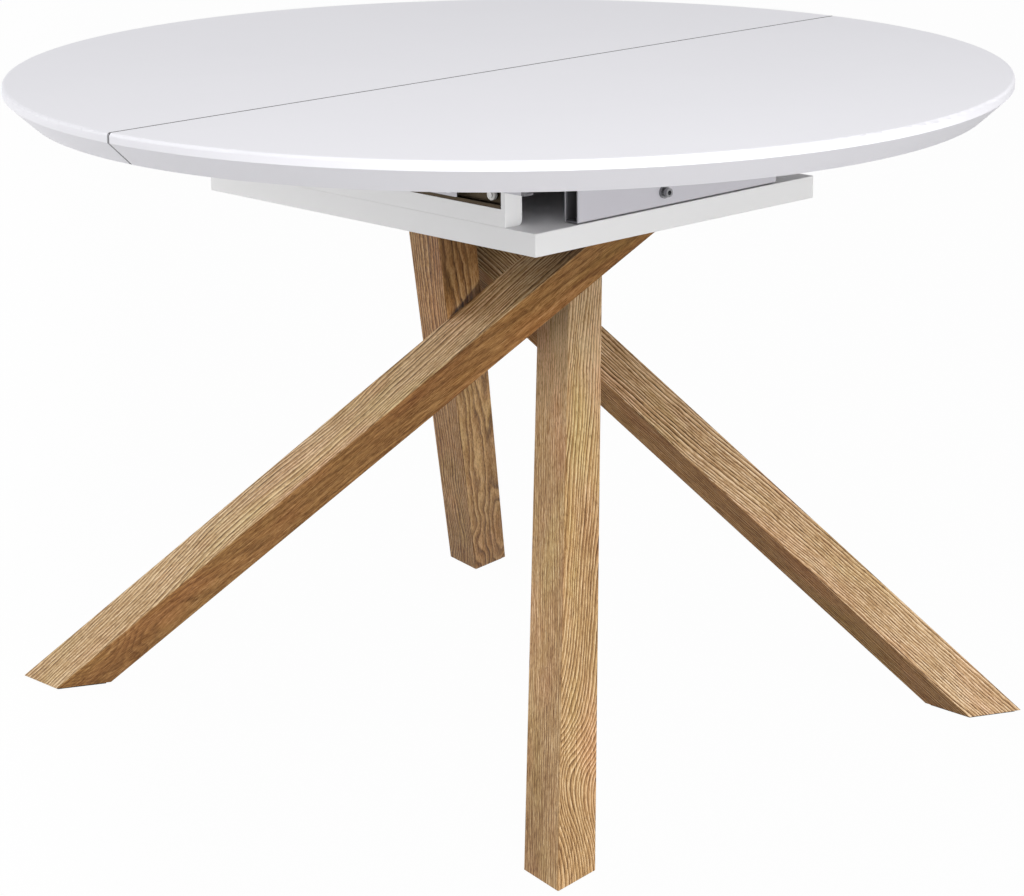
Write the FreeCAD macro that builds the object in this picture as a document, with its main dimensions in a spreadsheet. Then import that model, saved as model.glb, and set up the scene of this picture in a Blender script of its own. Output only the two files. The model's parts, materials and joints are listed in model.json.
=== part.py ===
import FreeCAD, Part
import math
import os
import re
import Sketcher

# Driving dimensions: millimetres, degrees and counts
sizes = {
    # round top in two halves
    "top_diameter": 1140,
    "table_height": 754,
    "edge_round": 3.5,
    "edge_face": 7.2,
    "bevel_height": 26,
    "bevel_inset": 28.5,
    "seam_gap": 0.8,
    "seam_arris": 0.8,
    "half_travel": 200,
    "seam_dowel_radius": 4,
    "seam_dowel_length": 24,
    "seam_dowel_drop": 9,
    "seam_dowel_near": 130,
    "seam_dowel_far": 400,
    "seam_socket_depth": 16,
    # base plate under the storage space
    "plate_reach": 67.5,
    "plate_width": 444,
    "plate_thickness": 25.4,
    "plate_arris": 1,
    # four legs crossing in a whirl
    "foot_along": 422,
    "foot_across": 345,
    "leg_pass_gap": 0.2,
    "leg_run": 695,
    "leg_section": 53,
    "leg_arris": 1.5,
    "foot_pad_thickness": 2.5,
    "foot_pad_inset": 5,
    "leg_bolt_radius": 4,
    "leg_bolt_head": 13,
    "leg_bolt_head_height": 5.5,
    "leg_bolt_setback": 18,
    "leg_bolt_pitch": 24,
    "leg_bolt_depth": 32,
    # side rails with a rebate on each side
    "rail_width": 25,
    "rail_height": 37.7,
    "rail_setback": 45.5,
    "rail_end": 6,
    "rail_ledge": 19,
    "rail_rebate": 9,
    "rail_round": 5,
    "rail_screw_radius": 2.5,
    "rail_screw_head": 5,
    "rail_screw_head_height": 3,
    "rail_screw_length": 40,
    "rail_screw_near": 60,
    "rail_screw_end": 42,
    "rail_screw_socket": 4,
    "rail_screw_socket_depth": 2,
    # pressed roller channels, rollers and axles
    "channel_sheet": 1.5,
    "channel_height": 17,
    "channel_lip": 4,
    "channel_lip_setback": 0.6,
    "channel_end_gap": 2,
    "roller_radius": 6,
    "roller_width": 5,
    "roller_chamfer": 0.6,
    "roller_rise": 0.3,
    "roller_spacing": 128,
    "roller_setback": 24,
    "axle_radius": 2,
    "axle_head_radius": 3.2,
    "axle_head_height": 0.8,
    "axle_side_gap": 0.4,
    # keeper strips over the runners
    "keeper_stem": 2.4,
    "keeper_width": 13,
    "keeper_sheet": 2,
    "keeper_gap": 0.8,
    # runners of the two halves
    "runner_sheet": 2,
    "runner_tail": 141,
    "runner_guide_drop": 14.6,
    "runner_guide_setback": 73,
    "runner_side_gap": 0.4,
    "runner_stem_gap": 0.8,
    "riser_gap": 2.5,
    "riser_length": 40,
    "riser_foot": 22,
    # folded channels that close the ends of the storage space
    "fascia_side": 64,
    "fascia_depth": 20,
    "fascia_sheet": 2,
    "fascia_bend": 3,
    "fascia_setback": 0.5,
    "fascia_gap": 1,
    "fascia_flange": 18,
    "fascia_screw_near": 45,
    "fascia_screw_end": 28,
    # wood screws into the underside of the top
    "top_screw_radius": 2,
    "top_screw_head": 4.5,
    "top_screw_head_height": 2.2,
    "top_screw_depth": 14,
    # rack and pinion that open both halves together
    "gear_module": 2,
    "pinion_teeth": 20,
    "pressure_angle": 20,
    "gear_backlash": 0.4,
    "gear_root_gap": 0.5,
    "rack_height": 17,
    "rack_thickness": 10,
    "rack_body": 7.5,
    "rack_end_teeth": 2,
    "pinion_pin_radius": 5,
    "pinion_pin_head": 8,
    "pinion_pin_head_height": 3,
    "housing_length": 68,
    "housing_wall": 5,
    "housing_flange": 12,
    "housing_flange_height": 4,
    "housing_screw_along": 24,
    "housing_screw_radius": 2,
    "housing_screw_head": 4,
    "housing_screw_head_height": 2,
    "housing_screw_depth": 16,
    "rack_bolt_radius": 3,
    "rack_bolt_head": 5,
    "rack_bolt_head_height": 6,
    "rack_bolt_socket": 5,
    "rack_bolt_socket_depth": 3,
    "rack_bolt_grip": 18,
    "rack_washer_radius": 7,
    "rack_washer_thickness": 3,
    # folded leaf in two panels
    "leaf_thickness": 18,
    "leaf_end_gap": 0.5,
    "leaf_headroom": 3.9,
    "hinge_length": 60,
    "hinge_leaf": 25,
    "hinge_sheet": 2,
    "hinge_knuckle": 3.5,
    "hinge_pin": 1.6,
    "hinge_spacing": 240,
    "hinge_side_gap": 0.3,
    # fits and cuts
    "fit_gap": 0.05,
    "running_gap": 0.3,
    "screw_gap": 0.3,
    "cut_overrun": 5,
}
long_edge_share = 0.5
riser_screw_shares = ("1/4", "3/4")
outer_knuckle_shares = [("-1/2", "-1/6"), ("1/6", "1/2")]
middle_knuckle_shares = [("-1/6", "1/6")]

doc = FreeCAD.newDocument("butterfly_leaf_table")
sheet = doc.addObject("Spreadsheet::Sheet", "Dimensions")
for row, (name, number) in enumerate(sizes.items(), start=1):
    sheet.set(f"A{row}", name)
    sheet.set(f"B{row}", str(number))
    sheet.setAlias(f"B{row}", name)
doc.recompute()

sub_parts = []
cuts = []

# Levels and places worked out from the driving dimensions
top_radius = "(top_diameter/2)"
underside = "(table_height-edge_round-edge_face-bevel_height)"
runner_rise = "(rail_height+roller_rise+running_gap)"
keeper_rise = f"({runner_rise}+runner_sheet+keeper_gap)"
plate_top = f"({underside}-{keeper_rise}-keeper_sheet-2*leaf_thickness-leaf_headroom)"
plate_bottom = f"({plate_top}-plate_thickness)"
rail_axis = "(plate_width/2-rail_width/2)"
plate_half = "(half_travel+plate_reach)"
rail_half = f"({plate_half}-rail_setback)"
rail_top = f"({plate_top}+rail_height)"
ledge_level = f"({plate_top}+rail_ledge)"
rail_core = "(rail_width/2-rail_rebate)"
roller_axis = f"({rail_top}+roller_rise-roller_radius)"
roller_start = f"({rail_core}+channel_sheet+axle_side_gap)"
roller_end = f"({roller_start}+roller_width)"
runner_level = f"({plate_top}+{runner_rise})"
runner_top = f"({runner_level}+runner_sheet)"
guide_start = "(rail_width/2+runner_side_gap)"
guide_end = f"({guide_start}+runner_sheet)"
runner_guide_nose = f"({rail_half}-runner_guide_setback)"
leaf_half = "(half_travel-leaf_end_gap)"
riser_start = f"({leaf_half}+seam_dowel_length/2+riser_gap)"
runner_nose = f"({riser_start}+riser_length)"
keeper_level = f"({plate_top}+{keeper_rise})"
keeper_top = f"({keeper_level}+keeper_sheet)"
fascia_half = "(plate_width/2-fascia_side)"
fascia_front = f"({plate_half}-fascia_setback)"
fascia_back = f"({fascia_front}-fascia_depth)"
fascia_bottom = f"({plate_top}+fascia_gap)"
rack_level = f"({plate_top}+rack_height)"
rack_bottom = f"({rack_level}-rack_thickness/2)"
rack_top = f"({rack_level}+rack_thickness/2)"
pitch_radius = "(gear_module*pinion_teeth/2)"
rack_root = f"({pitch_radius}+gear_module+gear_root_gap)"
rack_back = f"({rack_root}+rack_body)"
rack_bolt_line = f"({rack_root}+rack_body/2)"
leaf_length_half = f"({top_radius}/2)"
fold_level = f"({keeper_top}+leaf_thickness)"
leaf_top = f"({fold_level}+leaf_thickness)"
hinge_axis = f"({leaf_length_half}+hinge_knuckle+hinge_side_gap)"


def tie(formula):
    # Dimension names in a formula become references to the sheet
    return re.sub(r"[a-z_]+", lambda word: f"Dimensions.{word.group()}" if word.group() in sizes
                  else word.group(), formula)


def value(formula):
    return float(sheet.evalExpression(tie(formula)))


def bind(item, setting, formula):
    item.setExpression(setting, tie(formula))


def new_body(label):
    body = doc.addObject("PartDesign::Body", label)
    body.Label = label
    sub_parts.append(body)
    return body


def sketch_on(body, role, level):
    # Sketch on one of the body's own origin planes, lifted along the plane's normal
    plane = next(item for item in body.Origin.OriginFeatures if item.Role == role)
    sketch = body.newObject("Sketcher::SketchObject", "Outline")
    sketch.AttachmentSupport = [(plane, "")]
    sketch.MapMode = "FlatFace"
    bind(sketch, "AttachmentOffset.Base.z", level)
    return sketch


def pin_point(sketch, geometry, position, x, y):
    for direction, formula in (("DistanceX", x), ("DistanceY", y)):
        rule = Sketcher.Constraint(direction, -1, 1, geometry, position, value(formula))
        bind(sketch, f"Constraints[{sketch.addConstraint(rule)}]", formula)


def draw_outline(sketch, points):
    # A point of two formulas starts a line, one of four an arc about the last two
    spots = [FreeCAD.Vector(value(point[0]), value(point[1]), 0) for point in points]
    ends = []
    for index, point in enumerate(points):
        start, stop = spots[index], spots[(index + 1) % len(spots)]
        if len(point) == 2:
            ends.append((sketch.addGeometry(Part.LineSegment(start, stop), False), 1, 2))
            continue
        centre = FreeCAD.Vector(value(point[2]), value(point[3]), 0)
        from_start, from_stop = start - centre, stop - centre
        angles = [math.atan2(ray.y, ray.x) for ray in (from_start, from_stop)]
        counter_clockwise = from_start.cross(from_stop).z > 0
        if not counter_clockwise:
            angles.reverse()
        circle = Part.Circle(centre, FreeCAD.Vector(0, 0, 1), from_start.Length)
        arc = sketch.addGeometry(Part.ArcOfCircle(circle, *angles), False)
        ends.append((arc, 1, 2) if counter_clockwise else (arc, 2, 1))
    for index, point in enumerate(points):
        geometry, first, last = ends[index]
        following = ends[(index + 1) % len(ends)]
        sketch.addConstraint(Sketcher.Constraint("Coincident", geometry, last, following[0], following[1]))
        pin_point(sketch, geometry, first, point[0], point[1])
        if len(point) == 4:
            rule = Sketcher.Constraint("DistanceX", -1, 1, geometry, 3, value(point[2]))
            bind(sketch, f"Constraints[{sketch.addConstraint(rule)}]", point[2])


def draw_circle(sketch, radius, centre):
    spot = FreeCAD.Vector(value(centre[0]), value(centre[1]), 0)
    circle = sketch.addGeometry(Part.Circle(spot, FreeCAD.Vector(0, 0, 1), value(radius)), False)
    rule = Sketcher.Constraint("Radius", circle, value(radius))
    bind(sketch, f"Constraints[{sketch.addConstraint(rule)}]", radius)
    pin_point(sketch, circle, 3, *centre)


def feature(body, kind, sketch, length):
    made = body.newObject(f"PartDesign::{kind}", kind)
    made.Profile = sketch
    bind(made, "Length", length)
    return made


def extrude(body, role, level, length, *outlines):
    sketch = sketch_on(body, role, level)
    for points in outlines:
        draw_outline(sketch, points)
    return feature(body, "Pad", sketch, length)


def rods(body, role, level, length, radius, centres):
    sketch = sketch_on(body, role, level)
    for centre in centres:
        draw_circle(sketch, radius, centre)
    return feature(body, "Pad", sketch, length)


def pocket(body, sketch, length):
    # Pockets run along the plane's normal, as pads do
    base = body.Tip
    made = feature(body, "Pocket", sketch, length)
    made.Reversed = True
    cuts.append((base, made))


def cut(body, role, level, length, *outlines):
    sketch = sketch_on(body, role, level)
    for points in outlines:
        draw_outline(sketch, points)
    pocket(body, sketch, length)


def bores(body, role, level, length, radius, centres):
    sketch = sketch_on(body, role, level)
    for centre in centres:
        draw_circle(sketch, radius, centre)
    pocket(body, sketch, length)


def revolve(body, role, points):
    # Full turn about the sketch's upright axis
    sketch = sketch_on(body, role, "0")
    draw_outline(sketch, points)
    turned = body.newObject("PartDesign::Revolution", "Revolution")
    turned.Profile = sketch
    turned.ReferenceAxis = (sketch, ["V_Axis"])
    return turned


def ease(body, made, radius, chosen):
    # Round the chosen edges of the body's last solid
    doc.recompute()
    rounded = body.newObject("PartDesign::Fillet", "Arris")
    rounded.Base = (made, [f"Edge{number}" for number, edge in enumerate(made.Shape.Edges, start=1)
                           if chosen(edge.BoundBox)])
    bind(rounded, "Radius", radius)


def rectangle(x_low, x_high, y_low, y_high):
    return [(x_low, y_low), (x_high, y_low), (x_high, y_high), (x_low, y_high)]


def hexagon(flats, centre):
    x, y = centre
    corner = f"{flats}/sqrt(3)"
    flat = f"{flats}/2"
    return [(f"{x}+{corner}", y), (f"{x}+{corner}/2", f"{y}+{flat}"), (f"{x}-{corner}/2", f"{y}+{flat}"),
            (f"{x}-{corner}", y), (f"{x}-{corner}/2", f"{y}-{flat}"), (f"{x}+{corner}/2", f"{y}-{flat}")]


def along(half, near, far):
    # Start and length of a stretch along X that lies on one half's side
    start = near if half > 0 else f"-({far})"
    return start, f"({far})-({near})"


def lane_y(side, lane, distance):
    # Y of a place beside a rail, counted from the rail's middle towards the lane
    return f"({side})*({rail_axis}+({lane})*({distance}))"


def across(side, lane, near, far):
    # The same for a stretch across a rail, on XZ planes, which face -Y
    return f"-{lane_y(side, lane, far if side * lane > 0 else near)}", f"({far})-({near})"


half_names = {1: "front", -1: "back"}
side_names = {-1: "left", 1: "right"}
lane_names = {1: "outer", -1: "inner"}
station_names = ("front", "middle", "rear")
leg_corners = {"front_leg": (1, -1), "right_leg": (1, 1), "back_leg": (-1, 1), "left_leg": (-1, -1)}
top_screws = {half: [] for half in half_names}
seam_dowels = [(f"{sign}*seam_dowel_{place}", "table_height-seam_dowel_drop")
               for sign in (-1, 1) for place in ("near", "far")]


leg_rise = f"({plate_bottom}-foot_pad_thickness)"
leg_across = "(leg_section/sqrt(2))"
leg_along = f"({leg_across}*sqrt(leg_run^2+{leg_rise}^2)/{leg_rise})"
leg_bolt_runs = [f"(leg_run-leg_bolt_setback+{sign}*leg_bolt_pitch/2)" for sign in (-1, 1)]
whirl_offset = f"({leg_along}*foot_along/foot_across+leg_pass_gap)"


def leg_line(corner):
    # Foot of a leg and the plan direction in which it leans past the table's middle,
    # as far off it as lets the long edges of two neighbouring legs just pass
    foot_x, foot_y = f"({corner[0]}*foot_along)", f"({corner[1]}*foot_across)"
    reach = "(foot_along^2+foot_across^2)"
    inward = f"sqrt({reach}-{whirl_offset}^2)"
    lean_x = f"((-{foot_x}*{inward}-{foot_y}*{whirl_offset})/{reach})"
    lean_y = f"((-{foot_y}*{inward}+{foot_x}*{whirl_offset})/{reach})"
    return foot_x, foot_y, lean_x, lean_y


def place_on_leg(body, corner):
    # Local X runs from the foot along the leg's plan direction
    foot_x, foot_y, lean_x, lean_y = leg_line(corner)
    bind(body, "Placement.Base.x", foot_x)
    bind(body, "Placement.Base.y", foot_y)
    bind(body, "Placement.Rotation.Angle", f"atan2({lean_y}; {lean_x})")


def diamond(x, along_half, across_half):
    return [(f"{x}+{along_half}", "0"), (x, across_half), (f"{x}-{along_half}", "0"), (x, f"-{across_half}")]


def make_leg(label, corner):
    # Square bar standing on its edge, cut level at the floor and under the plate
    body = new_body(label)
    bar = extrude(body, "XY_Plane", "foot_pad_thickness", leg_rise, diamond("0", leg_along, leg_across))
    bar.UseCustomVector = True
    bar.AlongSketchNormal = True
    bind(bar, "Direction.x", "leg_run")
    bind(bar, "Direction.z", leg_rise)
    ease(body, bar, "leg_arris", lambda box: box.ZLength > long_edge_share * value(leg_rise))
    bores(body, "XY_Plane", f"{plate_bottom}-leg_bolt_depth", "leg_bolt_depth+cut_overrun",
          "leg_bolt_radius+screw_gap", [(run, "0") for run in leg_bolt_runs])
    place_on_leg(body, corner)


def make_foot_pad(label, corner):
    body = new_body(label)
    pad_share = f"(1-foot_pad_inset/{leg_across})"
    extrude(body, "XY_Plane", "0", "foot_pad_thickness",
            diamond("0", f"{leg_along}*{pad_share}", f"{leg_across}*{pad_share}"))
    place_on_leg(body, corner)


def leg_bolt_places():
    places = []
    for corner in leg_corners.values():
        foot_x, foot_y, lean_x, lean_y = leg_line(corner)
        places += [(f"{foot_x}+{lean_x}*{run}", f"{foot_y}+{lean_y}*{run}") for run in leg_bolt_runs]
    return places


def make_leg_bolts():
    body = new_body("leg_bolts")
    places = leg_bolt_places()
    rods(body, "XY_Plane", f"{plate_bottom}-leg_bolt_depth", "leg_bolt_depth+plate_thickness",
         "leg_bolt_radius", places)
    extrude(body, "XY_Plane", plate_top, "leg_bolt_head_height",
            *[hexagon("leg_bolt_head", place) for place in places])


def rail_screw_places(side):
    return [(f"{sign}*{x}", f"({side})*{rail_axis}")
            for sign in (-1, 1) for x in ("rail_screw_near", f"({rail_half}-rail_screw_end)")]


housing_flange_line = f"({rack_back}+running_gap+housing_wall+housing_flange/2)"
housing_screw_places = [(f"{x_sign}*housing_screw_along", f"{y_sign}*{housing_flange_line}")
                        for x_sign in (-1, 1) for y_sign in (-1, 1)]


def make_base_plate():
    body = new_body("base_plate")
    board = extrude(body, "XY_Plane", plate_bottom, "plate_thickness",
                    rectangle(f"-{plate_half}", plate_half, "-plate_width/2", "plate_width/2"))
    ease(body, board, "plate_arris", lambda box: True)
    bores(body, "XY_Plane", f"{plate_bottom}-cut_overrun", "plate_thickness+2*cut_overrun",
          "leg_bolt_radius+screw_gap", leg_bolt_places())
    rail_screws = [place for side in side_names for place in rail_screw_places(side)]
    bores(body, "XY_Plane", f"{plate_bottom}-cut_overrun", "plate_thickness+2*cut_overrun",
          "rail_screw_radius+screw_gap", rail_screws)
    bores(body, "XY_Plane", f"{plate_bottom}-cut_overrun", "rail_screw_head_height+cut_overrun",
          "rail_screw_head+screw_gap", rail_screws)
    bores(body, "XY_Plane", f"{plate_top}-housing_screw_depth", "housing_screw_depth+cut_overrun",
          "housing_screw_radius+screw_gap", housing_screw_places)


def make_rail(side):
    # Board with a rebate on both upper sides, stopped short of the full-height ends
    body = new_body(f"{side_names[side]}_rail")
    inner, outer = lane_y(side, -1, "rail_width/2"), lane_y(side, 1, "rail_width/2")
    rounded = lane_y(side, -1, "rail_width/2-rail_round")
    extrude(body, "YZ_Plane", f"-{rail_half}", f"2*{rail_half}",
            [(outer, plate_top), (outer, rail_top), (inner, rail_top),
             (inner, f"{plate_top}+rail_round", rounded, f"{plate_top}+rail_round"), (rounded, plate_top)])
    for lane in lane_names:
        wall, face = lane_y(side, lane, rail_core), lane_y(side, lane, "rail_width/2+cut_overrun")
        cut(body, "YZ_Plane", f"-({rail_half}-rail_end)", f"2*({rail_half}-rail_end)",
            rectangle(wall, face, ledge_level, f"{rail_top}+cut_overrun"))
    bores(body, "XY_Plane", plate_bottom, "rail_screw_length+screw_gap",
          "rail_screw_radius+screw_gap", rail_screw_places(side))


def make_rail_screws():
    body = new_body("rail_screws")
    places = [place for side in side_names for place in rail_screw_places(side)]
    rods(body, "XY_Plane", plate_bottom, "rail_screw_length", "rail_screw_radius", places)
    rods(body, "XY_Plane", plate_bottom, "rail_screw_head_height", "rail_screw_head", places)
    cut(body, "XY_Plane", f"{plate_bottom}-cut_overrun", "rail_screw_socket_depth+cut_overrun",
        *[hexagon("rail_screw_socket", place) for place in places])


def roller_places(lane):
    # Stations along the rail, the first near the end that the lane's half leaves by
    steps = range(len(station_names))
    return [f"({lane})*({rail_half}-roller_setback-{step}*roller_spacing)" for step in steps]


def make_channel(side, lane):
    # Pressed channel with a turned-up lip, seated in the rebate
    body = new_body(f"{side_names[side]}_{lane_names[lane]}_channel")
    wall, web = lane_y(side, lane, rail_core), lane_y(side, lane, f"{rail_core}+channel_sheet")
    lip = lane_y(side, lane, "rail_width/2-channel_lip_setback")
    lip_inside = lane_y(side, lane, "rail_width/2-channel_lip_setback-channel_sheet")
    floor = f"{ledge_level}+channel_sheet"
    half_length = f"({rail_half}-rail_end-channel_end_gap)"
    extrude(body, "YZ_Plane", f"-{half_length}", f"2*{half_length}",
            [(wall, ledge_level), (lip, ledge_level), (lip, f"{ledge_level}+channel_lip"),
             (lip_inside, f"{ledge_level}+channel_lip"), (lip_inside, floor), (web, floor),
             (web, f"{ledge_level}+channel_height"), (wall, f"{ledge_level}+channel_height")])
    stretch = across(side, lane, f"{rail_core}-cut_overrun", f"{rail_core}+channel_sheet+axle_side_gap")
    bores(body, "XZ_Plane", *stretch, "axle_radius+fit_gap", [(x, roller_axis) for x in roller_places(lane)])


def make_axles():
    # Rivets through the channels' webs, with a head outside each roller
    body = new_body("roller_axles")
    head = f"{roller_end}+axle_side_gap"
    for side in side_names:
        for lane in lane_names:
            places = [(x, roller_axis) for x in roller_places(lane)]
            rods(body, "XZ_Plane", *across(side, lane, rail_core, head), "axle_radius", places)
            head_stretch = across(side, lane, head, f"{head}+axle_head_height")
            rods(body, "XZ_Plane", *head_stretch, "axle_head_radius", places)


def make_roller(side, lane, station):
    # Nylon roller with chamfered rims, turned about its axle along Y
    body = new_body(f"{side_names[side]}_{lane_names[lane]}_{station_names[station]}_roller")
    near, far = lane_y(side, lane, roller_start), lane_y(side, lane, roller_end)
    near_rim = lane_y(side, lane, f"{roller_start}+roller_chamfer")
    far_rim = lane_y(side, lane, f"{roller_end}-roller_chamfer")
    bore, shoulder = "axle_radius+fit_gap", "roller_radius-roller_chamfer"
    revolve(body, "XY_Plane", [(bore, near), (shoulder, near), ("roller_radius", near_rim),
                               ("roller_radius", far_rim), (shoulder, far), (bore, far)])
    bind(body, "Placement.Base.x", roller_places(lane)[station])
    bind(body, "Placement.Base.z", roller_axis)


def make_keeper(side):
    # T strip on the rail's core that holds both lanes' runners down
    body = new_body(f"{side_names[side]}_keeper")
    stem = [lane_y(side, lane, "keeper_stem/2") for lane in (-1, 1)]
    cap = [lane_y(side, lane, "keeper_width/2") for lane in (-1, 1)]
    extrude(body, "YZ_Plane", f"-{rail_half}", f"2*{rail_half}",
            [(stem[0], rail_top), (stem[1], rail_top), (stem[1], keeper_level), (cap[1], keeper_level),
             (cap[1], keeper_top), (cap[0], keeper_top), (cap[0], keeper_level), (stem[0], keeper_level)])


def make_runner(half, side):
    # Angle that rides on the rollers, with a guide beside the rail and a riser to the top;
    # the front half's pair takes the outer lanes, the back half's the inner ones
    lane = half
    body = new_body(f"{half_names[half]}_{side_names[side]}_runner")
    flange = lane_y(side, lane, "keeper_stem/2+runner_stem_gap")
    inside, outside = lane_y(side, lane, guide_start), lane_y(side, lane, guide_end)
    guide_bottom = f"{runner_level}-runner_guide_drop"
    extrude(body, "YZ_Plane", *along(half, "-runner_tail", runner_guide_nose),
            [(flange, runner_level), (inside, runner_level), (inside, guide_bottom), (outside, guide_bottom),
             (outside, runner_top), (flange, runner_top)])
    extrude(body, "YZ_Plane", *along(half, runner_guide_nose, runner_nose),
            rectangle(flange, outside, runner_level, runner_top))
    foot_edge = lane_y(side, lane, f"{guide_start}+riser_foot")
    foot_level = f"{underside}-runner_sheet"
    extrude(body, "YZ_Plane", *along(half, riser_start, runner_nose),
            [(inside, runner_level), (outside, runner_level), (outside, foot_level), (foot_edge, foot_level),
             (foot_edge, underside), (inside, underside)])
    foot_middle = lane_y(side, lane, f"{guide_end}/2+({guide_start}+riser_foot)/2")
    places = [(f"({half})*({riser_start}+riser_length*({share}))", foot_middle)
              for share in riser_screw_shares]
    bores(body, "XY_Plane", foot_level, "runner_sheet+cut_overrun", "top_screw_radius+screw_gap", places)
    top_screws[half] += places


def rack_bolt_place(half):
    return f"-({half})*{rack_bolt_line}", rack_level


def make_fascia(half):
    # Folded sheet channel hung under the top's edge, its back wall flanged for screws
    body = new_body(f"{half_names[half]}_fascia")
    front, back = f"({half})*{fascia_front}", f"({half})*{fascia_back}"

    def in_from(face, depth):
        return f"({half})*({face}-({depth}))"

    bend_level, floor = f"{fascia_bottom}+fascia_bend", f"{fascia_bottom}+fascia_sheet"
    front_bend, back_bend = in_from(fascia_front, "fascia_bend"), in_from(fascia_back, "-fascia_bend")
    flange = in_from(fascia_back, "fascia_flange")
    extrude(body, "XZ_Plane", f"-{fascia_half}", f"2*{fascia_half}", [
        (front, underside),
        (front, bend_level, front_bend, bend_level), (front_bend, fascia_bottom),
        (back_bend, fascia_bottom, back_bend, bend_level), (back, bend_level),
        (back, f"{underside}-fascia_sheet"), (flange, f"{underside}-fascia_sheet"), (flange, underside),
        (in_from(fascia_back, "-fascia_sheet"), underside),
        (in_from(fascia_back, "-fascia_sheet"), bend_level, back_bend, bend_level), (back_bend, floor),
        (front_bend, floor, front_bend, bend_level), (in_from(fascia_front, "fascia_sheet"), bend_level),
        (in_from(fascia_front, "fascia_sheet"), underside)])
    stretch = along(half, f"{fascia_back}-cut_overrun", f"{fascia_front}+cut_overrun")
    bores(body, "YZ_Plane", *stretch, "rack_bolt_radius+fit_gap", [rack_bolt_place(half)])
    places = [(in_from(fascia_back, "fascia_flange/2"), f"{sign}*{y}")
              for sign in (-1, 1) for y in ("fascia_screw_near", f"({fascia_half}-fascia_screw_end)")]
    bores(body, "XY_Plane", f"{underside}-fascia_sheet", "fascia_sheet+cut_overrun",
          "top_screw_radius+screw_gap", places)
    top_screws[half] += places


def make_top_screws(half):
    body = new_body(f"{half_names[half]}_screws")
    head_level = f"{underside}-runner_sheet-top_screw_head_height"
    rods(body, "XY_Plane", head_level, "top_screw_head_height", "top_screw_head", top_screws[half])
    rods(body, "XY_Plane", head_level, "top_screw_head_height+runner_sheet+top_screw_depth",
         "top_screw_radius", top_screws[half])


def make_top(half):
    # Half of a round board, its upright edge eased above, bevelled far in below and eased along the seam
    body = new_body(f"{half_names[half]}_top")
    brow = "table_height-edge_round"
    revolve(body, "XZ_Plane", [
        ("0", underside), (f"{top_radius}-bevel_inset", underside), (top_radius, f"{brow}-edge_face"),
        (top_radius, brow, f"{top_radius}-edge_round", brow),
        (f"{top_radius}-edge_round", "table_height"), ("0", "table_height")])
    cut(body, "XY_Plane", f"{underside}-cut_overrun", "edge_round+edge_face+bevel_height+2*cut_overrun",
        rectangle(f"({half})*seam_gap/2", f"-({half})*({top_radius}+cut_overrun)",
                  f"-{top_radius}-cut_overrun", f"{top_radius}+cut_overrun"))
    seam, above = f"({half})*(seam_gap/2-cut_overrun)", "table_height+cut_overrun"
    cut(body, "XZ_Plane", f"-{top_radius}-cut_overrun", f"2*({top_radius}+cut_overrun)",
        [(seam, "table_height-seam_arris-cut_overrun"),
         (f"({half})*(seam_gap/2+seam_arris+cut_overrun)", above), (seam, above)])
    depth = "seam_dowel_length/2" if half > 0 else "seam_socket_depth"
    gap = "fit_gap" if half > 0 else "running_gap"
    stretch = along(half, "0", f"seam_gap/2+{depth}")
    bores(body, "YZ_Plane", *stretch, f"seam_dowel_radius+{gap}", seam_dowels)
    bores(body, "XY_Plane", f"{underside}-cut_overrun", "cut_overrun+top_screw_depth+screw_gap",
          "top_screw_radius+screw_gap", top_screws[half])


def make_seam_dowels():
    body = new_body("seam_dowels")
    rods(body, "YZ_Plane", "seam_gap/2-seam_dowel_length/2", "seam_dowel_length",
         "seam_dowel_radius", seam_dowels)


def make_rack(half):
    # Toothed bar bolted to its half's fascia, meshing with the pinion at the table's middle
    body = new_body(f"{half_names[half]}_rack")
    pitch = "(gear_module*pi)"
    tail = f"(half_travel+(rack_end_teeth+1/2)*{pitch})"
    start, length = along(half, f"-{tail}", fascia_back)

    def at_y(distance):
        return f"-({half})*({distance})"

    extrude(body, "XY_Plane", rack_bottom, "rack_thickness",
            rectangle(start, f"{start}+{length}", at_y(rack_root), at_y(rack_back)))
    thick = f"({pitch}/4-gear_backlash/4)"
    slope = "tan(pressure_angle)"
    root_half = f"({thick}+(gear_module+gear_root_gap)*{slope})"
    tip_half = f"({thick}-gear_module*{slope})"
    whole_teeth = f"floor(half_travel/{pitch})"
    first = f"-({half})*{pitch}*({whole_teeth}+rack_end_teeth)"
    tooth = extrude(body, "XY_Plane", rack_bottom, "rack_thickness",
                    [(f"{first}-{root_half}", at_y(rack_root)), (f"{first}+{root_half}", at_y(rack_root)),
                     (f"{first}+{tip_half}", at_y(f"{pitch_radius}-gear_module")),
                     (f"{first}-{tip_half}", at_y(f"{pitch_radius}-gear_module"))])
    teeth = body.newObject("PartDesign::LinearPattern", "Teeth")
    teeth.Originals = [tooth]
    teeth.Direction = (next(item for item in body.Origin.OriginFeatures if item.Role == "X_Axis"), [""])
    teeth.Reversed = half < 0
    teeth.Mode = "Spacing"
    bind(teeth, "Offset", pitch)
    bind(teeth, "Occurrences", f"{whole_teeth}+2*rack_end_teeth+1")
    body.Tip = teeth
    stretch = along(half, f"{fascia_back}-rack_bolt_grip-running_gap", f"{fascia_back}+cut_overrun")
    bores(body, "YZ_Plane", *stretch, "rack_bolt_radius+fit_gap", [rack_bolt_place(half)])


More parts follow.
